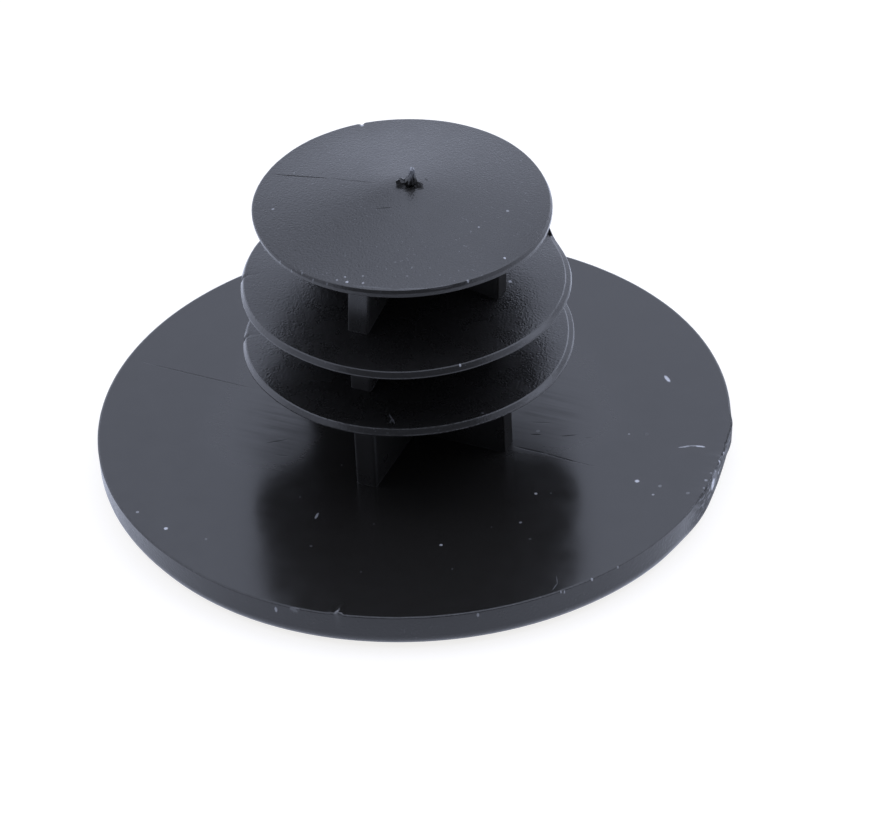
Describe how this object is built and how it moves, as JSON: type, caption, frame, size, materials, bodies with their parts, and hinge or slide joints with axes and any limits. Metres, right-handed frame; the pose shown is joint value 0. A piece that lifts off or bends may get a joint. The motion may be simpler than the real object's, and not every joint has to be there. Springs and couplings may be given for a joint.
{
  "type": "handlebar end cap",
  "caption": "Push-in end cap for a round handlebar tube: a wide flat flange behind a stem of crossed ribs, with springy conical fins that grip the bore.",
  "frame": {"origin": "centre of the flange's flat outer face, on the axis", "axes": "+Z along the axis from the flange into the tube, +X and +Y along the crossed ribs"},
  "size_m": [0.038, 0.038, 0.0208],
  "materials": {
    "black_plastic": "semi-gloss moulded black plastic, smooth on the flange, finely spark-textured on the fins"
  },
  "bodies": {
    "root": {"end_cap": "black_plastic"}
  },
  "joints": []
}
